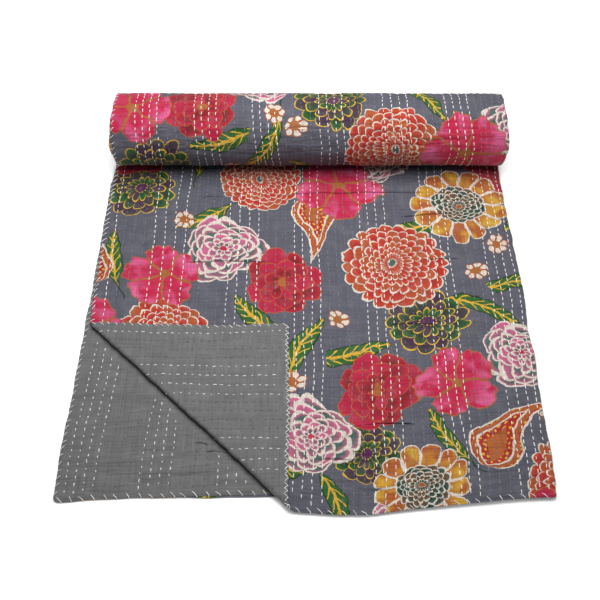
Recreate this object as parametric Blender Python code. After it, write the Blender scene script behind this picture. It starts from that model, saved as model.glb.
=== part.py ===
"""A kantha quilt, folded in half down its length and rolled up from the far end, with one front corner turned back.

Two cloths make it: a printed top and a plain backing, laid together and quilted. Both follow one surface,
place(s, t), where s runs across the opened quilt and t runs along it from the front hem. Units are metres,
+Z is up, the front hem faces -Y, and the underside rests on z = 0.
"""
import math

import bpy
import numpy as np
from mathutils.geometry import delaunay_2d_cdt

# The quilt, opened out.
QUILT_WIDTH = 1.520
QUILT_LENGTH = 2.280
CLOTH = 0.00145  # each cloth's thickness
BETWEEN = 0.00035  # between the two cloths
CORNER = 0.009  # how far each corner of the quilt is rounded
HEM = 0.007  # how far in from an edge the cloths thin towards it
HEM_THIN = 0.0005  # how much they thin

# The fold down its length.
LAYER_RISE = 0.0052  # from the middle of the lower layer to the middle of the upper one
WAVE = 0.0003  # how far the upper layer's face rises and dips along its length

# The roll.
FLAT = 0.756  # how much lies flat in front of it
ROLL_RADIUS = 0.077
TURN_PITCH = 0.0115  # how much closer to the middle each turn is
LUMP = 0.0008  # how far the roll is from round
ROLL_SINK = 0.0035  # how far its own weight has lowered its top

# The turned-back corner.
FOLD_AT = (-0.362, 0.336)  # where the fold meets the upper layer's left edge
FOLD_ANGLE = math.radians(-45.4)
FOLD_BEND = (0.0028, 0.0044)  # the fold's radius at its left end and at the front
FLAP_RISE = 0.0046  # from the middle of the upper layer to the middle of the flap, once settled
SETTLE = 0.070  # how far past the fold the flap has settled

# Quilting.
CHANNEL = 0.016  # from one raised line to the next hollow
CHANNEL_DEPTH = 0.00035
PUCKER = 0.00025
CREASES = (  # distance from the front, left end, right end, height
    (0.654, -0.150, 0.190, 0.0009),
    (0.602, 0.210, 0.340, 0.0008),
    (0.486, -0.190, -0.050, 0.0009),
    (0.352, -0.120, -0.010, 0.0008),
    (0.121, 0.080, 0.210, 0.0009),
)

# Where the edges lie: distances along the quilt, then how far to the side.
RIGHT_EDGE = (
    (0.00, 0.08, 0.18, 0.25, 0.32, 0.41, 0.55, 0.65, 0.756, 0.88, 1.00, 1.09, 1.14, 1.20, 1.45, 1.70, 2.28),
    (0.386, 0.392, 0.391, 0.394, 0.392, 0.395, 0.394, 0.392, 0.394, 0.391, 0.387, 0.397, 0.394, 0.388, 0.386, 0.390, 0.388),
)
LOWER_LEFT = (
    (0.00, 0.14, 0.34, 0.68, 0.756, 0.88, 0.96, 1.03, 1.12, 1.20, 1.32, 1.40, 1.49, 1.56, 1.70, 1.81, 2.28),
    (-0.374, -0.373, -0.371, -0.369, -0.366, -0.357, -0.351, -0.356, -0.355, -0.359, -0.354, -0.355, -0.363, -0.360, -0.356, -0.361, -0.366),
)
UPPER_LEFT = (
    (0.00, 0.38, 0.60, 0.756, 0.88, 0.96, 1.03, 1.12, 1.20, 1.32, 1.40, 1.49, 1.56, 1.70, 1.81, 2.28),
    (-0.362, -0.362, -0.366, -0.363, -0.354, -0.349, -0.354, -0.353, -0.357, -0.352, -0.353, -0.361, -0.358, -0.354, -0.359, -0.364),
)
# How far the front hems lie ahead of or behind their place, from left to right.
UPPER_FRONT = (
    (-0.362, -0.014, 0.06, 0.11, 0.17, 0.24, 0.34, 0.386),
    (-0.012, -0.024, -0.031, -0.029, -0.021, -0.013, -0.004, -0.002),
)
LOWER_FRONT = ((-0.374, -0.30, -0.17, 0.00, 0.386), (-0.008, -0.003, 0.002, 0.004, 0.000))
DROOP = 0.0024  # how far the upper layer sinks where it hangs past the lower one

HALF = QUILT_WIDTH / 2
BEND = LAYER_RISE / 2
BEND_ARC = math.pi * BEND / 2
FACE = BETWEEN / 2 + CLOTH  # from the middle of the quilt to either face
OUTER_TURN = 2 * math.pi * ROLL_RADIUS - math.pi * TURN_PITCH  # the length of the roll's outer turn
FOLD_ALONG = np.array((math.cos(FOLD_ANGLE), math.sin(FOLD_ANGLE)))
FOLD_IN = np.array((-FOLD_ALONG[1], FOLD_ALONG[0]))  # from the fold towards the body of the quilt


def smooth(share):
    share = np.clip(share, 0, 1)
    return share * share * (3 - 2 * share)


def roll_angle(t):
    """How far round the roll the quilt has gone, in radians, with 0 at the bottom and a quarter turn at the back."""
    past = np.maximum(t - FLAT, 0)
    inner = np.sqrt(ROLL_RADIUS**2 - TURN_PITCH * past / math.pi)
    return (ROLL_RADIUS - inner) * 2 * math.pi / TURN_PITCH


def layer(s, t):
    """Where the folded quilt lies before its corner is turned back: plan x and y, and height over the lower layer."""
    side = np.clip((s - HALF) / BEND_ARC, -1, 1) * math.pi / 2
    away = np.clip((np.abs(s - HALF) - BEND_ARC) / (HALF - BEND_ARC), 0, 1)
    right = np.interp(t, *RIGHT_EDGE) - BEND - FACE
    left = np.where(s < HALF, np.interp(t, *UPPER_LEFT), np.interp(t, *LOWER_LEFT))
    # Inside the roll, where turns lie on it, the fold is pressed to a point.
    pressed = t > FLAT + OUTER_TURN
    round_x, round_share = np.cos(side), (1 - np.sin(side)) / 2
    flat_x, flat_share = 1 - np.abs(side) / (math.pi / 2), (1 - side / (math.pi / 2)) / 2
    x = right + BEND * np.where(pressed, flat_x, round_x) - away * (right - left)
    share = np.where(pressed, flat_share, round_share)  # 0 in the lower layer, 1 in the upper one
    ahead = share * np.interp(x, *UPPER_FRONT) + (1 - share) * np.interp(x, *LOWER_FRONT)
    y = t + ahead * (1 - smooth((t - 0.37) / 0.30))
    return x, y, share * LAYER_RISE


def past_fold(x, y):
    """How far a place lies past the corner's fold, towards the corner, and how far along the fold it is."""
    x, y = x - FOLD_AT[0], y - FOLD_AT[1]
    return -(x * FOLD_IN[0] + y * FOLD_IN[1]), x * FOLD_ALONG[0] + y * FOLD_ALONG[1]


def place(s, t):
    """The middle of the quilt's thickness."""
    x, y, height = layer(s, t)
    past, along = past_fold(x, y)
    past = np.where(s < HALF, past, -1.0)
    bend = np.interp(along, (0.0, 0.34, 0.48), (FOLD_BEND[0], FOLD_BEND[0], FOLD_BEND[1]))
    arc = math.pi * bend
    turn = np.clip(past / bend, 0, math.pi)
    inward = np.where(past < arc, -bend * np.sin(turn), past - arc)
    settled = np.interp(past - arc, [SETTLE * n / 3 for n in range(4)], (0.0, 0.26, 0.74, 1.0))
    lift = bend * (1 - np.cos(turn)) - (2 * bend - FLAP_RISE) * settled
    sag = 0.004 * smooth((past - arc) / SETTLE) * np.sin(np.clip(along / 0.24, 0, 1) * math.pi) ** 2
    folded = past > 0
    x = np.where(folded, FOLD_AT[0] + FOLD_ALONG[0] * along + FOLD_IN[0] * inward, x)
    y = np.where(folded, FOLD_AT[1] + FOLD_ALONG[1] * along + FOLD_IN[1] * inward - sag, y)
    height = height + np.where(folded, lift, 0)

    # The upper layer sinks a little where it hangs past the lower one's hem.
    upper = np.clip(height / LAYER_RISE, 0, 1)
    hang = np.interp(x, (-0.10, -0.01, 0.12, 0.34), (0.0, 1.0, 1.0, 0.0))
    height = height - upper * hang * DROOP * smooth((0.035 - y) / 0.06)

    # From here the strip runs on round the roll.
    angle = roll_angle(t)
    radius = ROLL_RADIUS - TURN_PITCH * angle / (2 * math.pi)
    sunk = ROLL_SINK * (1 - np.cos(angle)) / 2
    radius = radius + LUMP * np.sin(2 * angle + 0.6) * smooth(angle / 0.8) - sunk - height
    middle = ROLL_RADIUS + FACE
    y = np.where(t > FLAT, FLAT + radius * np.sin(angle), y)
    z = np.where(t > FLAT, middle - radius * np.cos(angle), FACE + height)
    return np.stack((x, y, z), 1)


def facing(s, t):
    """The way the printed side faces."""
    step = 0.0002
    across = place(s + step, t) - place(s - step, t)
    along = place(s, t + step) - place(s, t - step)
    normal = np.cross(across, along)
    return normal / np.linalg.norm(normal, axis=1)[:, None]


def showing(s, t):
    """Where the printed side shows, and where the backing shows."""
    x, y, _ = layer(s, t)
    past, _ = past_fold(x, y)
    upper = s < HALF
    under_flap = (x < FOLD_AT[0] + 0.330) & (y < FOLD_AT[1] - 0.018)
    angle = roll_angle(t)
    outside = (angle > 0.25) & (angle < 5.9)
    printed = np.where(upper, (angle < 0.05) & (past < -0.01) & ~under_flap, outside)
    printed = printed | (upper & (s > HALF - BEND_ARC) & outside)
    plain = (t < FLAT) & (past > np.where(s < HALF, 0.002, 0.012))
    return printed, plain


def relief(s, t):
    """The hollows along the quilting lines and the small puckers across them, over or under the plain face."""
    column = np.round(s / CHANNEL)
    row = np.round(t / 0.026)
    channels = CHANNEL_DEPTH * np.cos(math.pi * s / CHANNEL)
    puckers = PUCKER * np.sin(column * 2.3 + row * 4.1) * np.cos(row * 1.7 + 0.4 * column)
    x, y, _ = layer(s, t)
    crease = np.zeros_like(s)
    for front, left, right, height in CREASES:
        ends = smooth((x - left) / 0.03) * smooth((right - x) / 0.03)
        crease = crease + height * ends * np.maximum(0, 1 - np.abs(y - front) / 0.026)
    waves = WAVE * (np.sin(t * 47.0) + 0.6 * np.sin(t * 83.0 + 1.0))
    return channels + puckers + np.where((s < HALF) & (t < FLAT), waves + crease, 0)


def hem(s, t):
    """How much each cloth has thinned towards the quilt's edges."""
    edge = np.minimum.reduce((s, QUILT_WIDTH - s, t, QUILT_LENGTH - t))
    return np.where(t > FLAT + OUTER_TURN, 0, HEM_THIN * (1 - np.clip(edge / HEM, 0, 1)))


def columns():
    across = [0.0, HEM]
    across += [CHANNEL * n for n in range(1, int((HALF - BEND_ARC) / CHANNEL))]
    across.append(HALF - BEND_ARC)
    across.append(HALF - BEND_ARC / 2)
    return across + [HALF] + [QUILT_WIDTH - s for s in reversed(across)]


def rows():
    """Down the flat part in even steps, then round the roll in fewer steps a turn as it tightens."""
    steps = 27
    along = [0.0, HEM] + [FLAT * n / steps for n in range(1, steps + 1)]
    turns = (18, 15, 13, 12, 11, 11)
    angle = 0.0
    while True:
        angle += 2 * math.pi / turns[int(angle / (2 * math.pi))]
        inner = ROLL_RADIUS - TURN_PITCH * angle / (2 * math.pi)
        t = FLAT + (ROLL_RADIUS**2 - inner**2) * math.pi / TURN_PITCH
        if t > QUILT_LENGTH - HEM - 0.004:
            return along + [QUILT_LENGTH - HEM, QUILT_LENGTH]
        along.append(t)


def fold_lines():
    """Lines on the opened quilt beside the corner's fold, each as points from the left edge to the front edge."""
    tilt = (UPPER_FRONT[1][1] - UPPER_FRONT[1][0]) / (UPPER_FRONT[0][1] - UPPER_FRONT[0][0])
    arc = math.pi * sum(FOLD_BEND) / 2
    for past in (-0.006, 0.0, *(arc * n / 6 for n in range(1, 7)), *(arc + SETTLE * n / 3 for n in (1, 2, 3))):
        points = []
        for n in range(20):
            # The right end is past the front hem, so the line is cut there.
            x = FOLD_AT[0] + 0.4 * n / 19
            y = FOLD_AT[1] - (past + (x - FOLD_AT[0]) * FOLD_IN[0]) / FOLD_IN[1]
            ahead = UPPER_FRONT[1][0] + tilt * (x - UPPER_FRONT[0][0])
            s, t = to_quilt(x), y - ahead
            if t <= 0.004:
                last = points[-1]
                share = last[1] / (last[1] - t)
                points.append((last[0] + share * (s - last[0]), 0.0))
                break
            points.append((s, t))
        yield points


def to_quilt(x):
    """The distance across the upper layer of a place near the turned corner."""
    right = np.interp(0.18, *RIGHT_EDGE) - BEND - FACE
    return (x - UPPER_LEFT[1][0]) / (right - UPPER_LEFT[1][0]) * (HALF - BEND_ARC)


def net():
    """Points over the opened quilt and the triangles between them."""
    lines = list(fold_lines())
    flat = np.array([point for line in lines for point in line])
    across, along = np.array(columns()), np.array(rows())
    s, t = (grid.ravel() for grid in np.meshgrid(across, along))
    near = np.zeros(len(s), bool)
    for line in lines:
        (s0, t0), (s1, t1) = line[0], line[-1]
        length = math.hypot(s1 - s0, t1 - t0)
        off = np.abs((s - s0) * (t1 - t0) - (t - t0) * (s1 - s0)) / length
        near |= (off < 0.007) & (s < 0.40) & (t < 0.40)
    # Points within a corner's rounding go, and the rounding's own points come in.
    deep_s = CORNER - np.minimum(s, QUILT_WIDTH - s)
    deep_t = CORNER - np.minimum(t, QUILT_LENGTH - t)
    cut = (deep_s > 0) & (deep_t > 0)
    points = [tuple(point) for point in np.stack((s, t), 1)[~near & ~cut]]
    for corner_s, side_s in ((0.0, 1), (QUILT_WIDTH, -1)):
        for corner_t, side_t in ((0.0, 1), (QUILT_LENGTH, -1)):
            for n in range(5):
                turn = math.pi / 2 * n / 4
                points.append(
                    (
                        corner_s + side_s * CORNER * (1 - math.sin(turn)),
                        corner_t + side_t * CORNER * (1 - math.cos(turn)),
                    )
                )
            points.append((corner_s + side_s * CORNER, corner_t + side_t * CORNER))
    edges = []
    for line in lines:
        first = len(points)
        points += line
        edges += [(first + n, first + n + 1) for n in range(len(line) - 1)]
    flat, _, triangles, *_ = delaunay_2d_cdt(points, edges, [], 0, 1e-7)
    flat = np.array([tuple(point) for point in flat])
    triangles = [tuple(face) for face in triangles]
    keep = []
    for a, b, c in triangles:
        area = np.cross(flat[b] - flat[a], flat[c] - flat[a])
        if abs(area) > 1e-9:
            keep.append((a, b, c) if area > 0 else (a, c, b))
    return flat[:, 0], flat[:, 1], keep


def cloth(name, low, high, colour, triangles):
    """One closed sheet between two faces given point by point, with the printed side's face last."""
    count = len(low)
    faces = [tuple(reversed(face)) for face in triangles]
    faces += [tuple(corner + count for corner in face) for face in triangles]
    sides = {(face[n], face[(n + 1) % 3]) for face in triangles for n in range(3)}
    for a, b in sides:
        if (b, a) not in sides:
            faces.append((b + count, a + count, a))
            faces.append((b + count, a, b))
    mesh = bpy.data.meshes.new(name)
    mesh.from_pydata(np.concatenate((low, high)).tolist(), [], faces)
    mesh.validate()
    material = bpy.data.materials.new(name)
    material.use_nodes = True
    shader = material.node_tree.nodes["Principled BSDF"]
    shader.inputs["Base Color"].default_value = (*colour, 1)
    shader.inputs["Roughness"].default_value = 0.9
    mesh.materials.append(material)
    bpy.context.scene.collection.objects.link(bpy.data.objects.new(name, mesh))


for thing in list(bpy.data.objects):
    bpy.data.objects.remove(thing)

s, t, triangles = net()
middle, normal = place(s, t), facing(s, t)
printed_shows, plain_shows = showing(s, t)
raised, thinned = relief(s, t), hem(s, t)

inner = BETWEEN / 2
printed_face = FACE - thinned + np.where(printed_shows, raised, 0)
plain_face = FACE - thinned + np.where(plain_shows, raised, 0)
faces_at = {
    "printed_top": (middle + normal * inner, middle + normal * printed_face[:, None]),
    "plain_backing": (middle - normal * plain_face[:, None], middle - normal * inner),
}

# The origin goes to the middle of the quilt's box, on the floor.
every = np.concatenate([points for pair in faces_at.values() for points in pair])
low, high = every.min(0), every.max(0)
origin = np.array(((low[0] + high[0]) / 2, (low[1] + high[1]) / 2, low[2]))
print("origin", origin.round(6), "size", (high - low).round(6))

COLOURS = {"printed_top": (0.47, 0.16, 0.17), "plain_backing": (0.19, 0.19, 0.20)}
for name, (lower, upper) in faces_at.items():
    cloth(name, lower - origin, upper - origin, COLOURS[name], triangles)
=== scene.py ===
# %% [markdown]
# # A kantha quilt, half unrolled
#
# A kantha quilt is a few layers of old cotton, sewn through by hand with long lines of running stitch.
# This one has a printed side and a plain grey side. It lies folded in half down its length, printed side
# out, and it is rolled up from the far end. One front corner of the upper layer is turned back.
#
# The solids are already made, and they are the frame that every piece here is fitted to. So the first step
# loads them.

# %% Load the frame
import math

import bpy
import numpy as np
from mathutils.geometry import delaunay_2d_cdt
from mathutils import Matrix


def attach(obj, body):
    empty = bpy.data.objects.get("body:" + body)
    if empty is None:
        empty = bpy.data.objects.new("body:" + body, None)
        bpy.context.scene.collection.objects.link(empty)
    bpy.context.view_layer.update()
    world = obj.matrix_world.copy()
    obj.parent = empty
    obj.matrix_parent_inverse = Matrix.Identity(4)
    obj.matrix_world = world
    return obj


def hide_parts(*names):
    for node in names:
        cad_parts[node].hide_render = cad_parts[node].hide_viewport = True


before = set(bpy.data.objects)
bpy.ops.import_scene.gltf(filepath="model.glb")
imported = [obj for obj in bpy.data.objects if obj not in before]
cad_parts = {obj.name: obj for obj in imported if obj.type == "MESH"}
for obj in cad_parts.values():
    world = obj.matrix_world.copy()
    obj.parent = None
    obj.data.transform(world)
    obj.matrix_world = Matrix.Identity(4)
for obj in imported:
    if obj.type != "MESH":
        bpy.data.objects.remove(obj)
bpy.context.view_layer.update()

# %% [markdown]
# ## Camera, floor and light
#
# A quilt on a pale floor is best seen from above and in front. The camera looks down at 50 degrees with a
# lens a little longer than normal, which keeps the sides from closing in too fast. One big soft light
# overhead and a weak, even world model the roll and the puckers. The floor glows a little with painted
# light, which keeps it white. Close to whatever lies on it, the glow and the floor's colour are darkened.
# This painted contact shade leaves a thin dark line where the quilt touches the floor.

# %% Camera
CAMERA_AT, LENS = (-0.0114, -1.1222, 1.3268), 58.8
camera_data = bpy.data.cameras.new("camera")
camera_data.lens = LENS
camera = bpy.data.objects.new("camera", camera_data)
camera.location = CAMERA_AT
camera.rotation_euler = (math.radians(90 - 50), 0, 0)
bpy.context.scene.collection.objects.link(camera)
bpy.context.scene.camera = camera
print("camera at", tuple(camera.location))


# %% Colours and plain materials
def linear(red, green, blue):
    """A colour given as 0 to 255 screen values, as the light values that Blender's shaders use."""
    parts = [value / 255 for value in (red, green, blue)]
    return tuple(v / 12.92 if v < 0.04045 else ((v + 0.055) / 1.055) ** 2.4 for v in parts) + (1.0,)


def new_material(name, colour, roughness):
    material = bpy.data.materials.new(name)
    material.use_nodes = True
    shader = material.node_tree.nodes["Principled BSDF"]
    shader.inputs["Base Color"].default_value = colour
    shader.inputs["Roughness"].default_value = roughness
    return material, shader


# %% Floor
PALE, WHITE = (0.93, 0.93, 0.93, 1), (1, 1, 1, 1)
# The floor's glow is painted light that keeps it evenly white. Close to the quilt, its glow and colour are
# darkened as painted contact shade.
FLOOR_GLOW, PAINTED_SHADE_REACH = 0.42, 0.011  # how strongly the floor glows, and how near the quilt it doesn't
floor_mesh = bpy.data.meshes.new("floor")
floor_mesh.from_pydata([(-6, -6, 0), (6, -6, 0), (6, 6, 0), (-6, 6, 0)], [], [(0, 1, 2, 3)])
floor = bpy.data.objects.new("floor", floor_mesh)
floor.location.z = -0.0006
bpy.context.scene.collection.objects.link(floor)
floor_material, floor_shader = new_material("pale floor with painted glow and contact shade", PALE, 0.7)
floor_shader.inputs["Emission Color"].default_value = WHITE
floor_tree = floor_material.node_tree
# Ambient occlusion paints shade on the floor near the quilt: it darkens the floor's colour and dims its
# painted glow there.
painted_contact_shade = floor_tree.nodes.new("ShaderNodeAmbientOcclusion")
painted_contact_shade.inputs["Color"].default_value = PALE
painted_contact_shade.inputs["Distance"].default_value = PAINTED_SHADE_REACH
glow = floor_tree.nodes.new("ShaderNodeMath")
glow.operation = "MULTIPLY"
glow.inputs[1].default_value = FLOOR_GLOW
floor_tree.links.new(painted_contact_shade.outputs["Color"], floor_shader.inputs["Base Color"])
floor_tree.links.new(painted_contact_shade.outputs["AO"], glow.inputs[0])
floor_tree.links.new(glow.outputs[0], floor_shader.inputs["Emission Strength"])
floor_mesh.materials.append(floor_material)

# %% Lamp and world. An area lamp that isn't turned shines straight down
lamp_data = bpy.data.lights.new("soft light overhead", "AREA")
lamp_data.shape, lamp_data.size, lamp_data.energy = "DISK", 1.1, 20.0
lamp = bpy.data.objects.new("soft light overhead", lamp_data)
lamp.location = (0.0, 0.12, 1.05)
bpy.context.scene.collection.objects.link(lamp)
world = bpy.data.worlds.new("studio")
world.use_nodes = True
world.node_tree.nodes["Background"].inputs["Color"].default_value = WHITE
world.node_tree.nodes["Background"].inputs["Strength"].default_value = 0.19
bpy.context.scene.world = world
bpy.context.scene.view_settings.view_transform = "Standard"
print("lamp:", lamp.name, lamp_data.energy, "watts")

# %% [markdown]
# ## One surface for both cloths
#
# Cloth that is folded and rolled is still one flat sheet, so it is easiest to describe by two distances on
# the opened quilt: s across it and t along it. One function then says where each point of the quilt lies in
# space. Everything follows it: both cloths, each stitch, and the print, which is drawn in the same two
# distances. A cloth simulation could fold the quilt too, but it would not end in these exact turns.

# %% Sizes of the quilt, the same as the solids have
QUILT_WIDTH, QUILT_LENGTH = 1.520, 2.280
CLOTH, BETWEEN = 0.00145, 0.00035
FACE = BETWEEN / 2 + CLOTH
HALF = QUILT_WIDTH / 2
LAYER_RISE = 0.0052
BEND = LAYER_RISE / 2
BEND_ARC = math.pi * BEND / 2
FLAT = 0.756
ROLL_RADIUS, TURN_PITCH, LUMP, ROLL_SINK = 0.077, 0.0115, 0.0008, 0.0035
FOLD_AT, FOLD_ANGLE, FOLD_BEND = (-0.362, 0.336), math.radians(-45.4), (0.0028, 0.0044)
BEND_OPENS = (0.34, 0.48)  # the corner's fold opens from the first bend to the second over this stretch
FLAP_RISE, SETTLE, FLAP_SAG, FLAP_WAVE = 0.0046, 0.070, 0.004, 0.0009
DROOP, DROOPS_AT = 0.0024, ((-0.10, -0.01, 0.12, 0.34), (0.0, 1.0, 1.0, 0.0))  # the upper layer's front
LAYER_WAVE, EDGE_WAVES, SEAM_WAVE = 0.0006, (0.0016, 0.0007), 0.0012
SLANT_FROM, SLANT_FADE = 0.37, 0.30  # the front's slant fades out from here, over this length
ORIGIN = np.array((0.01139, 0.39951, 0.0))  # the middle of the folded quilt, put at the middle of the scene
FOLD_ALONG = np.array((math.cos(FOLD_ANGLE), math.sin(FOLD_ANGLE)))
FOLD_IN = np.array((-FOLD_ALONG[1], FOLD_ALONG[0]))
OUTER_TURN = 2 * math.pi * ROLL_RADIUS - math.pi * TURN_PITCH

# %% Where the edges lie: distances along the quilt, then how far to the side
RIGHT_EDGE = (
    (0.00, 0.08, 0.18, 0.25, 0.32, 0.41, 0.55, 0.65, 0.756, 0.88, 1.00, 1.09, 1.14, 1.20, 1.45, 1.70, 2.28),
    (0.386, 0.392, 0.391, 0.394, 0.392, 0.395, 0.394, 0.392, 0.394)
    + (0.391, 0.387, 0.397, 0.394, 0.388, 0.386, 0.390, 0.388),
)
LOWER_LEFT = (
    (0.00, 0.14, 0.34, 0.68, 0.756, 0.88, 0.96, 1.03, 1.12, 1.20, 1.32, 1.40, 1.49, 1.56, 1.70, 1.81, 2.28),
    (-0.374, -0.373, -0.371, -0.369, -0.366, -0.357, -0.351, -0.356, -0.355)
    + (-0.359, -0.354, -0.355, -0.363, -0.360, -0.356, -0.361, -0.366),
)
UPPER_LEFT = (
    (0.00, 0.38, 0.60, 0.756, 0.88, 0.96, 1.03, 1.12, 1.20, 1.32, 1.40, 1.49, 1.56, 1.70, 1.81, 2.28),
    (-0.362, -0.362, -0.366, -0.363, -0.354, -0.349, -0.354, -0.353)
    + (-0.357, -0.352, -0.353, -0.361, -0.358, -0.354, -0.359, -0.364),
)
UPPER_FRONT = (
    (-0.362, -0.014, 0.06, 0.11, 0.17, 0.24, 0.34, 0.386),
    (-0.012, -0.024, -0.031, -0.029, -0.021, -0.013, -0.004, -0.002),
)
LOWER_FRONT = ((-0.374, -0.30, -0.17, 0.00, 0.386), (-0.008, -0.003, 0.002, 0.004, 0.000))


# %% Small helpers: a smooth step, soft random hills, and the angle round the roll
def smooth(share):
    share = np.clip(share, 0, 1)
    return share * share * (3 - 2 * share)


def hills(s, t, wide, long, seed):
    """Soft random hills from -1 to 1, each about wide by long metres on the opened quilt."""
    heights = np.random.default_rng(seed).uniform(-1, 1, (97, 89))
    u, v = s / wide, t / long
    i, j = np.floor(u).astype(int), np.floor(v).astype(int)
    a, b = smooth(u - i), smooth(v - j)
    near, far = heights[i % 97], heights[(i + 1) % 97]
    row = np.arange(len(s))
    low = near[row, j % 89] * (1 - a) + far[row, j % 89] * a
    high = near[row, (j + 1) % 89] * (1 - a) + far[row, (j + 1) % 89] * a
    return low * (1 - b) + high * b


def roll_angle(t):
    past = np.maximum(t - FLAT, 0)
    inner = np.sqrt(ROLL_RADIUS**2 - TURN_PITCH * past / math.pi)
    return (ROLL_RADIUS - inner) * 2 * math.pi / TURN_PITCH


print("turns in the roll:", round(float(roll_angle(np.array([QUILT_LENGTH]))[0] / (2 * math.pi)), 2))


# %% The quilt folded in half
def edge_waves(s, t):
    """How far the free left edges wander in and out."""
    return EDGE_WAVES[0] * hills(s * 0, t, 1, 0.045, 3) + EDGE_WAVES[1] * hills(s * 0 + 5, t, 1, 0.014, 4)


def layer(s, t):
    """Plan x and y, and height over the lower layer, before the corner is turned back."""
    side = np.clip((s - HALF) / BEND_ARC, -1, 1) * math.pi / 2
    away = np.clip((np.abs(s - HALF) - BEND_ARC) / (HALF - BEND_ARC), 0, 1)
    right = np.interp(t, *RIGHT_EDGE) - BEND - FACE + SEAM_WAVE * hills(s * 0, t, 1, 0.03, 5)
    left = np.where(s < HALF, np.interp(t, *UPPER_LEFT), np.interp(t, *LOWER_LEFT))
    left = left + np.where(s < HALF, 1, -1) * edge_waves(s, t)
    x = right + BEND * np.cos(side) - away * (right - left)
    share = (1 - np.sin(side)) / 2
    ahead = share * np.interp(x, *UPPER_FRONT) + (1 - share) * np.interp(x, *LOWER_FRONT)
    from_seam = np.clip(np.abs(s - HALF) / 0.05, 0, 1)
    ahead = ahead + (SEAM_WAVE * hills(x + 2, s * 0, 0.035, 1, 6)) * from_seam
    y = t + ahead * (1 - smooth((t - SLANT_FROM) / SLANT_FADE))
    return x, y, share * LAYER_RISE


def past_fold(x, y):
    x, y = x - FOLD_AT[0], y - FOLD_AT[1]
    return -(x * FOLD_IN[0] + y * FOLD_IN[1]), x * FOLD_ALONG[0] + y * FOLD_ALONG[1]


# %% The whole surface: the turned corner, the sinking front edge and the roll
def place(s, t):
    """The middle of the quilt's thickness at s across and t along."""
    x, y, height = layer(s, t)
    past, along = past_fold(x, y)
    past = np.where(s < HALF, past, -1.0)
    bend = np.interp(along, BEND_OPENS, FOLD_BEND)
    arc = math.pi * bend
    turn = np.clip(past / bend, 0, math.pi)
    inward = np.where(past < arc, -bend * np.sin(turn), past - arc)
    settled = smooth((past - arc) / SETTLE)
    lift = bend * (1 - np.cos(turn)) - (2 * bend - FLAP_RISE) * settled
    lift = lift + settled * FLAP_WAVE * (1 + hills(s + 3, t + 3, 0.07, 0.07, 7))
    sag = FLAP_SAG * settled * np.sin(np.clip(along / 0.24, 0, 1) * math.pi) ** 2
    folded = past > 0
    x = np.where(folded, FOLD_AT[0] + FOLD_ALONG[0] * along + FOLD_IN[0] * inward, x)
    y = np.where(folded, FOLD_AT[1] + FOLD_ALONG[1] * along + FOLD_IN[1] * inward - sag, y)

    upper = np.clip(height / LAYER_RISE, 0, 1)
    calm = smooth((FLAT - 0.03 - y) / 0.06)
    height = height + upper * calm * LAYER_WAVE * hills(x + 2, y + 2, 0.11, 0.05, 8)
    height = height - upper * np.interp(x, *DROOPS_AT) * DROOP * smooth((0.035 - y) / 0.06)
    height = height + np.where(folded, lift, 0)

    angle = roll_angle(t)
    radius = ROLL_RADIUS - TURN_PITCH * angle / (2 * math.pi)
    sunk = ROLL_SINK * (1 - np.cos(angle)) / 2
    radius = radius + LUMP * np.sin(2 * angle + 0.6) * smooth(angle / 0.8) - sunk - height
    rolled_y, rolled_z = FLAT + radius * np.sin(angle), ROLL_RADIUS + FACE - radius * np.cos(angle)
    y = np.where(t > FLAT, rolled_y, y)
    z = np.where(t > FLAT, rolled_z, FACE + height)
    return np.stack((x, y, z), 1) - ORIGIN


def facing(s, t):
    """The way the printed side faces."""
    step = 0.0004
    normal = np.cross(place(s + step, t) - place(s - step, t), place(s, t + step) - place(s, t - step))
    return normal / np.linalg.norm(normal, axis=1)[:, None]


print("front left corner of the lower layer:", place(np.array([QUILT_WIDTH]), np.array([0.0])).round(3))

# %% [markdown]
# ## The lines of running stitch
#
# The white thread runs in groups of four lines, and between the groups three to five lines are sewn in grey
# thread that hardly shows. A hand-sewn line is never quite straight, so neighbours wander together a little.
# The same list of lines serves twice: the cloth is pulled into a shallow channel under each one, and the
# stitches themselves are laid along them later.

# %% The lines: distance across the quilt, and whether the thread is white
UPPER_GROUPS = (
    (-0.008, 0.019), (0.120, 0.019), (0.260, 0.0185), (0.378, 0.015),
    (0.505, 0.0155), (0.620, 0.0145), (0.728, 0.015),
)
LOWER_GROUPS = (
    (0.640, 0.015), (0.520, 0.0155), (0.395, 0.015), (0.268, 0.0142), (0.152, 0.0142), (0.038, 0.0140)
)
GROUPS = UPPER_GROUPS + tuple((QUILT_WIDTH - centre, pitch) for centre, pitch in LOWER_GROUPS)
GREY_PITCH, HEM = 0.0165, 0.009


def quilting_lines():
    """A group is its middle and the distance between its white lines. Grey lines fill the space between."""
    lines = []
    for (centre, pitch), following in zip(GROUPS, GROUPS[1:] + (None,)):
        lines += [(centre + pitch * (n - 1.5), True) for n in range(4)]
        if following is not None:
            first, last = centre + 1.5 * pitch, following[0] - 1.5 * following[1]
            count = max(1, round((last - first) / GREY_PITCH) - 1)
            lines += [(first + (last - first) * (n + 1) / (count + 1), False) for n in range(count)]
    return sorted(line for line in lines if HEM < line[0] < QUILT_WIDTH - HEM)


LINES = quilting_lines()
LINE_AT = np.array([line[0] for line in LINES])
print(len(LINES), "quilting lines,", sum(white for _, white in LINES), "in white thread")

# %% How far the lines wander
DRIFT, SMALL_DRIFT, LOWER_SLANT = 0.0045, 0.0018, 0.028


def line_drift(s, t):
    """How far the lines have wandered sideways, and on the lower layer how far they slant."""
    drift = DRIFT * hills(s, t, 0.16, 0.24, 11) + SMALL_DRIFT * hills(s, t, 0.045, 0.09, 12)
    return drift - LOWER_SLANT * smooth((s - HALF) / 0.1) * np.clip(t, 0, 1.3)
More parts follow.
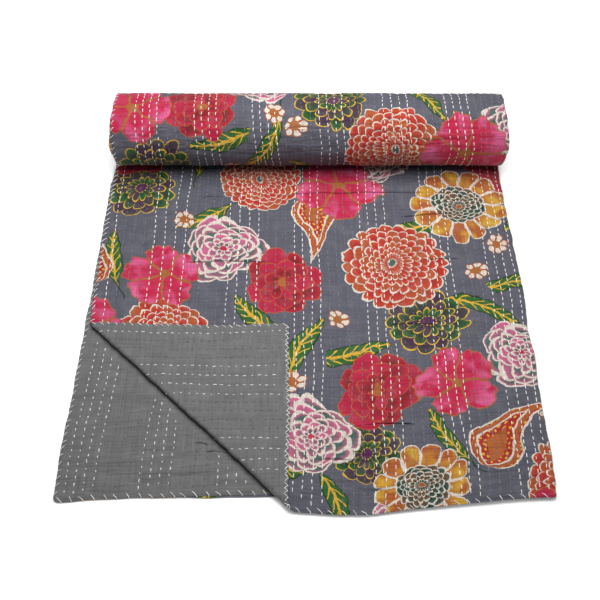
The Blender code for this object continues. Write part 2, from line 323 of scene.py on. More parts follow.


# %% [markdown]
# ## Puckers and creases
#
# Each line of stitch draws the layers together, so the cloth lies in a shallow channel along it, puffs up
# beside it and puckers finely across it. Lying folded in store leaves a few sharp creases. All of this could
# be a bump in the material, but these puckers are deep enough to shade each other, so they are a height that
# moves the points of the mesh. It is left out wherever a side is hidden. The bottom of a crease is finer than
# the points can follow, so the shade that falls there is also painted: the cloth's colour is darkened along
# it.

# %% What shows
FLAP_ACROSS, FLAP_SHORT = 0.322, 0.024  # how far the turned corner reaches from the fold's upper end
ROLL_SEEN = (0.22, 5.95)  # the angles of the outer turn between which it has relief


def showing(s, t):
    """How much relief the printed side has at a place, and the plain side: 0 where that side is hidden."""
    x, y, _ = layer(s, t)
    past, _ = past_fold(x, y)
    upper = s < HALF
    angle = roll_angle(t)
    beyond = np.maximum(x - FOLD_AT[0] - FLAP_ACROSS, y - FOLD_AT[1] + FLAP_SHORT)
    from_flap = np.minimum(smooth((-0.010 - past) / 0.01), smooth(beyond / 0.012))
    flat_part = np.where(upper, smooth((0.05 - angle) / 0.02) * from_flap, 0)
    outside = smooth((angle - ROLL_SEEN[0]) / 0.15) * smooth((ROLL_SEEN[1] - angle) / 0.15)
    printed = np.where(t < FLAT, flat_part, np.where(upper & (s < HALF - BEND_ARC), 0, outside))
    plain = np.where(t < FLAT, np.where(upper, smooth(past / 0.004), smooth((past - 0.010) / 0.012)), 0)
    return printed, plain


# %% Creases: the left and right ends, how far from the front each end lies, and the strength
GROOVE_WIDTH, GROOVE_DEPTH, LIP_WIDTH, LIP_HEIGHT = 0.0012, 0.0031, 0.0055, 0.0019
PRINT_CREASES = (
    (-0.050, 0.262, 0.649, 0.654, 1.1),
    (-0.195, -0.110, 0.640, 0.643, 0.8),
    (0.185, 0.310, 0.589, 0.594, 1.0),
    (-0.215, -0.050, 0.472, 0.474, 1.1),
    (-0.180, -0.095, 0.708, 0.692, 0.8),
    (0.215, 0.300, 0.477, 0.479, 0.7),
    (0.150, 0.240, 0.328, 0.329, 0.7),
    (0.080, 0.190, 0.122, 0.127, 0.9),
    (0.020, 0.110, 0.060, 0.058, 0.5),
)
BACKING_CREASES = ((-0.167, -0.142, 0.0945, 0.0870, 0.8), (-0.147, -0.108, 0.0755, 0.0775, 0.8))


def crease_line(x, left, right, near_left, near_right):
    """How far from the front a crease runs at x, a little wavy as cloth creases."""
    share = (x - left) / (right - left)
    wave = 0.0030 * np.sin(share * math.pi) + 0.0022 * hills(x + 1, x * 0, 0.045, 1, 16)
    return near_left + (near_right - near_left) * share + wave


def creases(s, t, printed_side):
    """A crease is a narrow groove between two soft lips: its height, and the painted shade at its bottom,
    where light can't reach.
    """
    x, y, _ = layer(s, t)
    height, crease_shade = np.zeros_like(x), np.zeros_like(x)
    for left, right, near_left, near_right, strength in PRINT_CREASES if printed_side else BACKING_CREASES:
        fade = 0.18 * (right - left)
        ends = smooth((x - left) / fade) * smooth((right - x) / fade)
        off = y - crease_line(x, left, right, near_left, near_right)
        groove = np.exp(-((off / GROOVE_WIDTH) ** 2))
        lips = np.exp(-((off / LIP_WIDTH) ** 2))
        height = height + strength * ends * (LIP_HEIGHT * lips - GROOVE_DEPTH * groove)
        # The groove's share is painted shade, which darkens the cloth's colour where light can't reach.
        crease_shade = crease_shade + strength * ends * groove
    creased = ((s < HALF) == printed_side) & (t < FLAT)
    return height * creased, crease_shade * creased


# %% Puckers: how the stitches draw the cloth in
CHANNEL_DEPTH, CHANNEL_WIDTH, PUFF, PUFF_FROM = 0.00050, 0.0028, 0.00030, 0.007
SHORT_PUCKER, FINE_PUCKER, LONG_PUCKER, WRINKLE = 0.00070, 0.00036, 0.00075, 0.0009
UPPER_RIPPLE, LOWER_RIPPLE = 0.0007, 0.0017  # of the plain side's two layers


def puckers(s, t, printed_side):
    """Height of the worked cloth over its plain thickness."""
    at = s - line_drift(s, t)
    line = np.clip(np.searchsorted(LINE_AT, at), 1, len(LINE_AT) - 1)
    off = np.minimum(np.abs(at - LINE_AT[line - 1]), np.abs(at - LINE_AT[line]))
    channel = -CHANNEL_DEPTH * np.exp(-((off / CHANNEL_WIDTH) ** 2)) + PUFF * smooth(off / PUFF_FROM)
    short = hills(s, t, 0.026, 0.0088, 13) * SHORT_PUCKER + hills(s + 4, t, 0.013, 0.006, 14) * FINE_PUCKER
    long = hills(s, t, 0.085, 0.019, 15) * LONG_PUCKER
    lean = t + 0.004 * hills(s, t, 0.09, 0.2, 17)
    wrinkle = -WRINKLE * np.exp(-((hills(s, lean, 0.13, 0.034, 18) / 0.11) ** 2))
    if not printed_side:
        ripple = 0.6 + hills(s, lean, 0.060, 0.0090, 19)
        ripple = ripple * np.where(s < HALF, UPPER_RIPPLE, LOWER_RIPPLE)
        return channel + 0.5 * short + long + ripple + creases(s, t, False)[0]
    return channel + short + long + wrinkle + creases(s, t, True)[0]


# %% The two faces
STITCH_PITCH = 0.0122  # from one running stitch to the next
EDGE_ROUND, HEM_PULL, RIM_AT = 0.0022, 0.0006, BETWEEN / 2 + 0.00025


def from_edge(s, t):
    return np.minimum.reduce((s, QUILT_WIDTH - s, t, QUILT_LENGTH - t))


def face_height(s, t, shows, printed_side):
    """From the middle of the quilt to a face, with the edge rounded and the hem drawn in by its stitches."""
    edge = from_edge(s, t)
    round_off = np.sqrt(np.clip(1 - (1 - np.clip(edge / EDGE_ROUND, 0, 1)) ** 2, 0, 1))
    along = np.where(np.minimum(s, QUILT_WIDTH - s) < np.minimum(t, QUILT_LENGTH - t), t, s)
    pull = np.exp(-((edge / 0.008) ** 2)) * (0.25 + 0.3 * np.cos(2 * math.pi * along / STITCH_PITCH))
    thick = FACE - HEM_PULL * pull * np.clip(shows * 4, 0, 1)
    thick = thick + shows * puckers(s, t, printed_side) * smooth(edge / 0.006)
    return RIM_AT + (thick - RIM_AT) * round_off


def face_at(s, t, printed_side, lift=0.0):
    """A point on the outside of the printed cloth or of the backing."""
    shows = showing(s, t)[0 if printed_side else 1]
    height = face_height(s, t, shows, printed_side) + lift
    return place(s, t) + facing(s, t) * (height if printed_side else -height)[:, None]


print("channel depth at a line:", puckers(LINE_AT[:1] + 0.0001, np.array([0.4]), True).round(5))

# %% [markdown]
# ## Drawing with shader nodes
#
# The print is drawn by arithmetic on the two distances of the opened quilt, which every point of the cloth
# keeps in its UV map, in metres. So the flowers follow the folds and go round the roll as real print does.
# Each kind of flower or leaf is one node group with its colours and counts as inputs. A few lines of Python
# keep the node trees short enough to read.


# %% A short way to write nodes
class Nodes:
    """Adds nodes to one tree. A value that is a socket is linked, and any other is set."""

    def __init__(self, tree):
        self.tree = tree

    def add(self, kind, *values, **settings):
        node = self.tree.nodes.new(kind)
        for name, value in settings.items():
            setattr(node, name, value)
        for socket, value in zip(node.inputs, values):
            self.give(socket, value)
        return node

    def give(self, socket, value):
        if isinstance(value, bpy.types.NodeSocket):
            self.tree.links.new(value, socket)
        elif value is not None:
            socket.default_value = value

    def math(self, operation, *values, clamp=False):
        return self.add("ShaderNodeMath", *values, operation=operation, use_clamp=clamp).outputs[0]

    def plus(self, *values):
        return self.math("ADD", *values)

    def minus(self, *values):
        return self.math("SUBTRACT", *values)

    def times(self, *values, clamp=False):
        return self.math("MULTIPLY", *values, clamp=clamp)

    def under(self, *values):
        return self.math("LESS_THAN", *values)

    def vector(self, operation, *values, out=0):
        return self.add("ShaderNodeVectorMath", *values, operation=operation).outputs[out]

    def colour(self, share, first, second):
        node = self.add("ShaderNodeMix", data_type="RGBA")
        for place_in, value in ((0, share), (6, first), (7, second)):
            self.give(node.inputs[place_in], value)
        return node.outputs[2]

    def pick(self, share, first, second):
        node = self.add("ShaderNodeMix", data_type="VECTOR")
        for place_in, value in ((0, share), (4, first), (5, second)):
            self.give(node.inputs[place_in], value)
        return node.outputs[1]

    def ramp(self, value, low, high):
        node = self.add("ShaderNodeMapRange", value, low, high, interpolation_type="SMOOTHSTEP")
        return node.outputs[0]

    def noise(self, vector, scale, detail=2.0):
        return self.add("ShaderNodeTexNoise", vector, None, scale, detail).outputs[0]


FLOAT, VECTOR, COLOUR = "NodeSocketFloat", "NodeSocketVector", "NodeSocketColor"
GEOMETRY = "NodeSocketGeometry"


def new_group(name, inputs, outputs, tree_kind="ShaderNodeTree"):
    """A node group with named sockets, its builder, its inputs and its outputs."""
    group = bpy.data.node_groups.new(name, tree_kind)
    for label, kind, value in inputs:
        socket = group.interface.new_socket(label, in_out="INPUT", socket_type=kind)
        if value is not None:
            socket.default_value = value
    for label, kind in outputs:
        group.interface.new_socket(label, in_out="OUTPUT", socket_type=kind)
    given = group.nodes.new("NodeGroupInput").outputs
    wanted = group.nodes.new("NodeGroupOutput").inputs
    return group, Nodes(group), given, wanted


def use_group(nodes, group, **values):
    """Places a group, with its inputs given by name and a space for each underscore."""
    node = nodes.add("ShaderNodeGroup", node_tree=group)
    for name, value in values.items():
        nodes.give(node.inputs[name.replace("_", " ")], value)
    return node.outputs


# %% Colours of the dyes
def dye(red, green, blue):
    """A dye that looks like these screen values under the strong studio light, so it is really darker."""
    return tuple(0.70 * part for part in linear(red, green, blue)[:3]) + (1.0,)


SLATE, GREY = dye(98, 98, 111), dye(121, 121, 121)
HOT_PINK, CRIMSON, LIGHT_PINK = dye(208, 26, 74), dye(186, 16, 50), dye(238, 104, 158)
ORANGE_RED, TOMATO, RUST = dye(212, 72, 38), dye(188, 40, 26), dye(188, 98, 38)
CREAM = dye(238, 228, 214)
GREEN, DARK_GREEN, TEAL = dye(44, 106, 38), dye(28, 62, 32), dye(74, 106, 98)
YELLOW, DARK_RED, PLUM = dye(236, 186, 50), dye(136, 20, 24), dye(84, 28, 80)
GOLD = dye(182, 106, 42)
print("slate as light values:", [round(v, 3) for v in SLATE])

# %% [markdown]
# ## A flower of layered petals
#
# A dahlia is rings of short petals, each ring half a petal on from the last, so that every tip lies over the
# join below. Rings are whole numbers of the distance from the middle, and petals are whole numbers of the
# angle. The same rule with few wide petals gives a peony, and with green dye it gives a leafy rosette.


# %% The layered flower's node group
def layered_flower():
    group, n, given, wanted = new_group(
        "layered flower",
        (
            ("Vector", VECTOR, None),
            ("Rings", FLOAT, 5.0),
            ("Petals", FLOAT, 16.0),
            ("Lobe", FLOAT, 0.8),
            ("Wobble", FLOAT, 0.0),
            ("Line", FLOAT, 0.15),
            ("Tip", COLOUR, ORANGE_RED),
            ("Base", COLOUR, TOMATO),
            ("Mixed", FLOAT, 0.7),
            ("Other", COLOUR, RUST),
            ("Edge", COLOUR, CREAM),
            ("Heart size", FLOAT, 0.1),
            ("Heart", COLOUR, TEAL),
        ),
        (("Color", COLOUR), ("Mask", FLOAT)),
    )
    parts = n.add("ShaderNodeSeparateXYZ", given["Vector"]).outputs
    radius = n.vector("LENGTH", given["Vector"], out=1)
    angle = n.math("ARCTAN2", parts[1], parts[0])
    sway = n.math("SINE", n.math("MULTIPLY_ADD", angle, 3.0, n.times(radius, 5.0)))
    radius = n.times(radius, n.math("MULTIPLY_ADD", sway, given["Wobble"], 1.0))
    ring_place = n.times(radius, given["Rings"])
    ring = n.math("FLOOR", ring_place)
    within = n.math("FRACT", ring_place)
    turns = n.times(angle, n.math("DIVIDE", given["Petals"], 2 * math.pi))

    def lobe(ring_number):
        across = n.math("PINGPONG", n.math("MULTIPLY_ADD", ring_number, 0.5, turns), 0.5)
        arch = n.math("SQRT", n.math("MULTIPLY_ADD", n.times(across, across), -4.0, 1.0))
        return n.times(arch, given["Lobe"])

    own, under = lobe(ring), lobe(n.plus(ring, 1.0))
    past_own = n.math("GREATER_THAN", within, own)
    step_down = n.times(past_own, n.minus(n.plus(under, 1.0), own))
    from_tip = n.plus(n.minus(own, within), step_down)
    own_ring = n.plus(ring, past_own)
    number = n.math("ROUND", n.math("MULTIPLY_ADD", own_ring, 0.5, turns))
    number = n.math("FLOORED_MODULO", number, given["Petals"])
    cell = n.add("ShaderNodeCombineXYZ", own_ring, number).outputs[0]
    shade = n.add("ShaderNodeTexWhiteNoise", cell, noise_dimensions="3D").outputs[0]
    petal = n.colour(n.ramp(from_tip, 0.1, 1.0), given["Tip"], given["Base"])
    petal = n.colour(n.times(n.ramp(shade, 0.3, 0.9), given["Mixed"]), petal, given["Other"])
    petal = n.colour(n.under(from_tip, given["Line"]), petal, given["Edge"])
    n.give(wanted["Color"], n.colour(n.under(radius, given["Heart size"]), petal, given["Heart"]))
    last = n.minus(given["Rings"], 1.0)
    n.give(wanted["Mask"], n.under(n.minus(ring_place, own), last))
    return group


LAYERED = layered_flower()
print(LAYERED.name, len(LAYERED.nodes), "nodes")

# %% [markdown]
# ## A flower of broad petals
#
# A blossom or a daisy is one ring of petals round a heart. The distance to the rim dips between two petals,
# the outline and the joins are inked, and the dye runs from a deep base to a pale tip as if brushed on wet.


# %% The broad-petalled flower's node group
def broad_flower():
    group, n, given, wanted = new_group(
        "broad flower",
        (
            ("Vector", VECTOR, None),
            ("Petals", FLOAT, 5.0),
            ("Depth", FLOAT, 0.3),
            ("Ruffle", FLOAT, 0.03),
            ("Line", FLOAT, 0.03),
            ("Tip", COLOUR, LIGHT_PINK),
            ("Base", COLOUR, HOT_PINK),
            ("Edge", COLOUR, GOLD),
            ("Heart size", FLOAT, 0.14),
            ("Heart", COLOUR, GOLD),
        ),
        (("Color", COLOUR), ("Mask", FLOAT)),
    )
    parts = n.add("ShaderNodeSeparateXYZ", given["Vector"]).outputs
    radius = n.vector("LENGTH", given["Vector"], out=1)
    angle = n.math("ARCTAN2", parts[1], parts[0])
    turns = n.times(angle, n.math("DIVIDE", given["Petals"], 2 * math.pi))
    across = n.times(n.math("PINGPONG", turns, 0.5), 2.0)
    off = n.minus(1.0, across)
    arch = n.math("SQRT", n.minus(1.0, n.times(off, off)))
    ruffle = n.times(n.math("SINE", n.times(turns, 22.0)), given["Ruffle"])
    dip = n.times(given["Depth"], n.minus(arch, 1.0))
    rim = n.plus(n.plus(dip, 1.0), ruffle)
    n.give(wanted["Mask"], n.under(radius, rim))
    to_join = n.times(n.times(across, radius), math.pi)
    to_join = n.math("DIVIDE", to_join, given["Petals"])
    inked = n.under(n.math("MINIMUM", to_join, n.minus(rim, radius)), given["Line"])
    pale = n.times(n.ramp(n.math("DIVIDE", radius, rim), 0.35, 0.9), arch)
    brushed = n.times(pale, n.ramp(n.noise(given["Vector"], 2.2), 0.40, 0.58))
    petal = n.colour(brushed, given["Base"], given["Tip"])
    petal = n.colour(inked, petal, given["Edge"])
    n.give(wanted["Color"], n.colour(n.under(radius, given["Heart size"]), petal, given["Heart"]))
    return group


BROAD = broad_flower()
print(BROAD.name, len(BROAD.nodes), "nodes")

# %% [markdown]
# ## Leaf and paisley
#
# The leaf is a lance: its half-width falls away to both ends, with a yellow midrib and slanting veins, and a
# stalk behind it. The paisley is the old mango shape of Indian block prints, a round head that narrows to a
# bent tip, with bands that follow its outline.


# %% The leaf's node group
def lance_leaf():
    group, n, given, wanted = new_group(
        "lance leaf",
        (
            ("Vector", VECTOR, None),
            ("Width", FLOAT, 0.25),
            ("Blade", COLOUR, GREEN),
            ("Vein", COLOUR, YELLOW),
            ("Edge", COLOUR, DARK_GREEN),
        ),
        (("Color", COLOUR), ("Mask", FLOAT)),
    )
    parts = n.add("ShaderNodeSeparateXYZ", given["Vector"]).outputs
    bow = n.times(n.times(parts[0], parts[0]), 0.12)
    side = n.math("ABSOLUTE", n.plus(parts[1], bow))
    full = n.math("MAXIMUM", n.minus(1.0, n.times(parts[0], parts[0])), 0.0)
    half = n.times(n.math("POWER", full, 0.8), given["Width"])
    blade = n.under(side, half)
    stalk = n.times(n.under(side, 0.022), n.math("COMPARE", parts[0], -1.2, 0.25))
    n.give(wanted["Mask"], n.math("MAXIMUM", blade, stalk))
    slant = n.math("FRACT", n.times(n.math("MULTIPLY_ADD", side, -1.5, parts[0]), 3.6))
    inside = n.under(side, n.times(half, 0.8))
    veins = n.times(n.under(slant, 0.2), inside)
    rib = n.under(side, n.times(half, 0.14))
    by_rim = n.math("GREATER_THAN", side, n.minus(half, 0.03))
    skin = n.colour(by_rim, given["Blade"], given["Edge"])
    n.give(wanted["Color"], n.colour(n.math("MAXIMUM", veins, rib), skin, given["Vein"]))
    return group


# %% The paisley's node group
def paisley():
    group, n, given, wanted = new_group(
        "paisley",
        (
            ("Vector", VECTOR, None),
            ("Edge", COLOUR, CREAM),
            ("Band", COLOUR, RUST),
            ("Field", COLOUR, TOMATO),
            ("Dot", COLOUR, YELLOW),
        ),
        (("Color", COLOUR), ("Mask", FLOAT)),
    )
    parts = n.add("ShaderNodeSeparateXYZ", given["Vector"]).outputs
    up = n.plus(parts[1], 0.4)
    above = n.math("MAXIMUM", up, 0.0)
    bent = n.times(n.times(above, above), 0.32)
    side = n.math("ABSOLUTE", n.minus(parts[0], bent))
    below = n.times(n.math("MINIMUM", up, 0.0), 1.7)
    head = n.math("SQRT", n.math("MAXIMUM", n.minus(1.0, n.times(below, below)), 0.0))
    tail = n.math("POWER", n.math("MAXIMUM", n.math("MULTIPLY_ADD", above, -0.74, 1.0), 0.0), 0.9)
    depth = n.minus(n.times(n.times(head, tail), 0.56), side)
    n.give(wanted["Mask"], n.math("GREATER_THAN", depth, 0.0))
    spots = n.add("ShaderNodeTexVoronoi", given["Vector"], None, 9.0, voronoi_dimensions="2D")
    n.give(spots.inputs["Randomness"], 0.35)
    field = n.colour(n.under(spots.outputs["Distance"], 0.26), given["Field"], given["Dot"])
    band = n.math("COMPARE", depth, 0.13, 0.05)
    seed = n.math("GREATER_THAN", depth, 0.38)
    inked = n.math("MAXIMUM", n.under(depth, 0.045), n.math("COMPARE", depth, 0.205, 0.022))
    skin = n.colour(band, field, given["Band"])
    skin = n.colour(seed, skin, given["Band"])
    n.give(wanted["Color"], n.colour(inked, skin, given["Edge"]))
    return group


LEAF, PAISLEY = lance_leaf(), paisley()
print(LEAF.name, len(LEAF.nodes), "nodes;", PAISLEY.name, len(PAISLEY.nodes), "nodes")

# %% [markdown]
# ## The weave, shared by both cloths
#
# Both cloths are plain-woven cotton. Close up, fine threads cross and some are thicker than others. From a
# step away the hand quilting gives a fine crumple that runs across the lines of stitch, finer than the mesh
# can carry. One group gives the height of both, and masks for the thicker threads and the worn places.


# %% The weave's node group
def cotton_weave():
    group, n, given, wanted = new_group(
        "cotton weave",
        (("Vector", VECTOR, None), ("Thread pitch", FLOAT, 0.0007), ("Crumple", FLOAT, 1.0)),
        (("Height", FLOAT), ("Slub", FLOAT), ("Worn", FLOAT)),
    )
    parts = n.add("ShaderNodeSeparateXYZ", given["Vector"]).outputs
    waves = []
    for part in (parts[0], parts[1]):
        turns = n.math("DIVIDE", n.times(part, 2 * math.pi), given["Thread pitch"])
        waves.append(n.math("SINE", turns))
    threads = n.times(n.times(waves[0], waves[1]), 0.00005)
    crumples = []
    for stretch, depth in (((34, 150, 1), 0.0011), ((80, 260, 1), 0.0006)):
        flat = n.vector("MULTIPLY", given["Vector"], stretch)
        crumples.append(n.times(n.noise(flat, 1.0, 3.0), depth))
    wander = n.noise(n.vector("MULTIPLY", given["Vector"], (8, 55, 1)), 1.0, 2.0)
    groove = n.ramp(n.math("ABSOLUTE", n.minus(wander, 0.5)), 0.0, 0.14)
    crumple = n.plus(n.plus(*crumples), n.times(groove, 0.0007))
    crumple = n.times(crumple, given["Crumple"])
    n.give(wanted["Height"], n.plus(crumple, threads))
    slubs = []
    for stretch in ((420, 16, 1), (16, 420, 1)):
        slubs.append(n.noise(n.vector("MULTIPLY", given["Vector"], stretch), 1.0, 2.0))
    n.give(wanted["Slub"], n.times(n.plus(*slubs), 0.5))
    n.give(wanted["Worn"], n.ramp(n.noise(given["Vector"], 38.0, 6.0), 0.42, 0.78))
    return group


WEAVE = cotton_weave()
print(WEAVE.name, len(WEAVE.nodes), "nodes")

# %% [markdown]
# ## Laying out the print
#
# A printed cloth repeats, and within one repeat each flower has its own place, size and turn. The tables hold
# those. For each kind the shader finds the nearest flower of that kind, with the repeat wrapped round, and
# draws the kind once in that flower's own coordinates. That costs far less than drawing each one in turn.

# %% Places in the repeat: across, along, radius and turn in degrees
REPEAT = (0.700, 0.640)
LEAVES = (
    (0.075, 0.075, 0.065, 150), (0.050, 0.150, 0.059, 120), (0.262, 0.045, 0.059, 20),
    (0.300, 0.250, 0.067, 65), (0.365, 0.240, 0.065, 15), (0.235, 0.300, 0.058, 140),
    (0.570, 0.305, 0.065, -35), (0.612, 0.352, 0.059, 10), (0.500, 0.470, 0.065, 190),
    (0.140, 0.625, 0.061, 75), (0.020, 0.400, 0.059, 100), (0.650, 0.500, 0.063, 240),
    (0.352, 0.010, 0.054, -70), (0.150, 0.480, 0.056, 205), (0.490, 0.095, 0.054, 120),
    (0.330, 0.625, 0.052, 30),
)
ROSETTES = (
    (0.200, 0.165, 0.065, 0), (0.480, 0.292, 0.067, 0), (0.045, 0.545, 0.063, 0), (0.385, 0.085, 0.049, 0)
)
CARNATIONS = (
    (0.315, 0.110, 0.063, 0), (0.608, 0.222, 0.059, 0), (0.185, 0.425, 0.065, 0), (0.425, 0.610, 0.052, 0)
)
MANGOES = ((0.570, 0.105, 0.070, -30), (0.330, 0.470, 0.065, 200), (0.682, 0.410, 0.061, 20))
DAHLIAS = (
    (0.105, 0.255, 0.083, 0), (0.440, 0.395, 0.086, 0), (0.655, 0.020, 0.076, 0), (0.235, 0.565, 0.072, 0)
)
PEONIES = (
    (0.045, 0.000, 0.068, 0), (0.405, 0.180, 0.065, 0), (0.275, 0.362, 0.063, 0), (0.625, 0.588, 0.068, 0)
)
BLOSSOMS = (
    (0.175, 0.050, 0.074, 10), (0.690, 0.262, 0.076, 40), (0.360, 0.550, 0.074, 25),
    (0.095, 0.372, 0.061, 60), (0.512, 0.182, 0.061, 0),
)
SUNFLOWERS = ((0.550, 0.512, 0.083, 0), (0.455, 0.028, 0.068, 10))
DAISIES = (
    (0.290, 0.190, 0.020, 0), (0.255, 0.215, 0.018, 20), (0.560, 0.375, 0.020, 10), (0.118, 0.480, 0.021, 0),
    (0.600, 0.425, 0.019, 30), (0.355, 0.305, 0.018, 0), (0.635, 0.120, 0.018, 0), (0.010, 0.100, 0.020, 15),
)
PRINT_SCALE = 1.22  # the size of the whole repeat, against the tables
MOTIF_SIZE = 0.94  # the size of each motif in it
print("repeat:", [round(PRINT_SCALE * length, 3) for length in REPEAT], "metres")


# %% Find the nearest flower of one kind
def nearest(n, laid, table):
    """The cloth's distances in the own coordinates of the nearest flower in a table."""
    best = None
    for across, along, radius, turn in table:
        high = (across + REPEAT[0] / 2, along + REPEAT[1] / 2, 1)
        low = (across - REPEAT[0] / 2, along - REPEAT[1] / 2, -1)
        wrapped = n.vector("WRAP", laid, high, low)
        turned, size = (0, 0, math.radians(turn)), (radius * MOTIF_SIZE, radius * MOTIF_SIZE, 1)
        mapping = n.add("ShaderNodeMapping", wrapped, (across, along, 0), turned, size, vector_type="TEXTURE")
        own = mapping.outputs[0]
        length = n.vector("LENGTH", own, out=1)
        if best is None:
            best, shortest = own, length
        else:
            best = n.pick(n.under(length, shortest), best, own)
            shortest = n.math("MINIMUM", length, shortest)
    return best


# %% How each kind is drawn, from the bottom of the print to the top
ROSETTE = dict(Rings=4.0, Petals=13.0, Wobble=0.03, Line=0.14, Heart_size=0.16, Heart=PLUM)
ROSETTE |= dict(Tip=GREEN, Base=DARK_GREEN, Other=PLUM, Edge=YELLOW)
CARNATION = dict(Rings=7.0, Petals=9.0, Lobe=0.95, Wobble=0.10, Line=0.42, Heart_size=0.08, Heart=HOT_PINK)
CARNATION |= dict(Tip=LIGHT_PINK, Base=TEAL, Other=LIGHT_PINK, Edge=CREAM)
DAHLIA = dict(Rings=7.0, Petals=22.0, Lobe=0.75, Line=0.2, Heart_size=0.07, Heart=TEAL)
DAHLIA |= dict(Tip=ORANGE_RED, Base=TOMATO, Edge=CREAM)
PEONY = dict(Rings=4.0, Petals=8.0, Lobe=0.9, Wobble=0.07, Line=0.1, Heart_size=0.12, Heart=GOLD)
PEONY |= dict(Tip=CRIMSON, Base=DARK_RED, Other=HOT_PINK, Edge=RUST)
SUNFLOWER = dict(Petals=13.0, Depth=0.2, Ruffle=0.0, Tip=YELLOW, Base=RUST, Edge=CREAM, Heart_size=0.0)
SEEDS = dict(Rings=6.0, Petals=15.0, Line=0.3, Mixed=0.3, Heart_size=0.1, Heart=RUST)
SEEDS |= dict(Tip=TEAL, Base=DARK_GREEN, Edge=CREAM)
DAISY = dict(Petals=7.0, Depth=0.35, Ruffle=0.0, Line=0.08, Heart_size=0.45, Heart=GOLD)
DAISY |= dict(Tip=CREAM, Base=CREAM, Edge=RUST)
KINDS = (
    (LEAVES, LEAF, {}),
    (ROSETTES, LAYERED, ROSETTE),
    (CARNATIONS, LAYERED, CARNATION),
    (MANGOES, PAISLEY, {}),
    (DAHLIAS, LAYERED, DAHLIA),
    (PEONIES, LAYERED, PEONY),
    (BLOSSOMS, BROAD, {}),
    (SUNFLOWERS, BROAD, SUNFLOWER),
    (DAISIES, BROAD, DAISY),
)
HAND_SHAKE = ((60.0, 0.006), (13.0, 0.030))  # how fine each wander of the hand is, and how far it goes
SEEDS_SHARE = 1.75  # a sunflower's radius against its seed head's


# %% The print's node group
def flowered_print():
    group, n, given, wanted = new_group("flowered print", (("Vector", VECTOR, None),), (("Color", COLOUR),))
    laid = n.vector("MULTIPLY", given["Vector"], (1 / PRINT_SCALE, 1 / PRINT_SCALE, 1))
    for scale, reach in HAND_SHAKE:
        shake = n.add("ShaderNodeTexNoise", given["Vector"], None, scale, 2.0)
        hand = n.vector("SUBTRACT", shake.outputs[1], (0.5, 0.5, 0.5))
        laid = n.vector("ADD", laid, n.vector("MULTIPLY", hand, (reach, reach, 0)))
    dyed = SLATE
    for table, kind, looks in KINDS:
        own = nearest(n, laid, table)
        drawn = use_group(n, kind, Vector=own, **looks)
        dyed = n.colour(drawn["Mask"], dyed, drawn["Color"])
        if table is SUNFLOWERS:
            head = n.vector("MULTIPLY", own, (SEEDS_SHARE, SEEDS_SHARE, 0))
            drawn = use_group(n, LAYERED, Vector=head, **SEEDS)
            dyed = n.colour(drawn["Mask"], dyed, drawn["Color"])
    n.give(wanted["Color"], dyed)
    return group


PRINT = flowered_print()
print(PRINT.name, len(PRINT.nodes), "nodes")


# %% Finish both cottons
# The near-black colour, at its share, is painted shade at the bottom of the creases. The thin places and
# faded spots are the cloth's own tone.
THIN_PLACE, FADED, CREASE_SHADE_COLOUR = (0.02, 0.02, 0.025, 1), (0.60, 0.59, 0.58, 1), (0.01, 0.01, 0.013, 1)
THIN_SHOWS, FADED_SHOWS, CREASE_SHADE_SHOWS = 0.34, 0.05, 0.75


def cotton(name, crumple, drawn):
    """A cloth's material: its colour from the function drawn, darkened by painted shade in the creases, with
    its weave and crumple in the bump.
    """
    material, shader = new_material(name, GREY, 0.88)
    n = Nodes(material.node_tree)
    laid = n.add("ShaderNodeUVMap", uv_map="laid flat").outputs[0]
    weave = use_group(n, WEAVE, Vector=laid, Crumple=crumple)
    colour = drawn(n, laid)
    shade = n.ramp(weave["Slub"], 0.36, 0.66)
    colour = n.colour(n.times(shade, THIN_SHOWS), colour, THIN_PLACE)
    colour = n.colour(n.times(weave["Worn"], FADED_SHOWS), colour, FADED)
    # Painted shade at the bottom of each crease, read from the points of the mesh.
    crease_shade = n.add("ShaderNodeAttribute", attribute_name="crease_shade").outputs["Fac"]
    colour = n.colour(n.times(crease_shade, CREASE_SHADE_SHOWS, clamp=True), colour, CREASE_SHADE_COLOUR)
    n.give(shader.inputs["Base Color"], colour)
    bump = n.add("ShaderNodeBump")
    bump.inputs["Strength"].default_value = 1.0
    bump.inputs["Distance"].default_value = 1.0
    n.give(bump.inputs["Height"], weave["Height"])
    n.give(shader.inputs["Normal"], bump.outputs[0])
    n.give(shader.inputs["Roughness"], n.math("MULTIPLY_ADD", weave["Worn"], 0.08, 0.82))
    shader.inputs["Sheen Weight"].default_value = 0.05
    shader.inputs["Sheen Roughness"].default_value = 0.5
    shader.inputs["Specular IOR Level"].default_value = 0.25
    return material


printed_material = cotton("printed cotton", 1.35, lambda n, laid: use_group(n, PRINT, Vector=laid)["Color"])
plain_material = cotton("plain grey cotton", 1.0, lambda n, laid: GREY)

# %% [markdown]
# ## The two cloths
#
# Each cloth is a thin closed sheet. Where a cloth shows, its outer face needs a point every few millimetres
# to carry the puckers. Where it is hidden in the roll or under another layer it needs only enough points to
# turn the corners. An even grid fine enough for the first would be far too heavy for the second. So each face
# has points that are close in one region and far apart in another, and a Delaunay triangulation joins them.

# %% Rows and columns of points
RIM = (0.0, 0.0004, 0.0010, 0.0018, 0.0030)


def roll_rows(step_outer, step_inner):
    """Distances along the quilt at even turns of the roll, in degrees."""
    found, angle = [], 0.0
    while True:
        angle += math.radians(step_outer if angle < 6.2 else step_inner)
        inner = ROLL_RADIUS - TURN_PITCH * angle / (2 * math.pi)
        t = FLAT + (ROLL_RADIUS**2 - inner**2) * math.pi / TURN_PITCH
        if t > QUILT_LENGTH - 0.006:
            return found
        found.append(t)


def spread(start, end, step):
    return list(np.linspace(start, end, max(2, round((end - start) / step) + 1)))


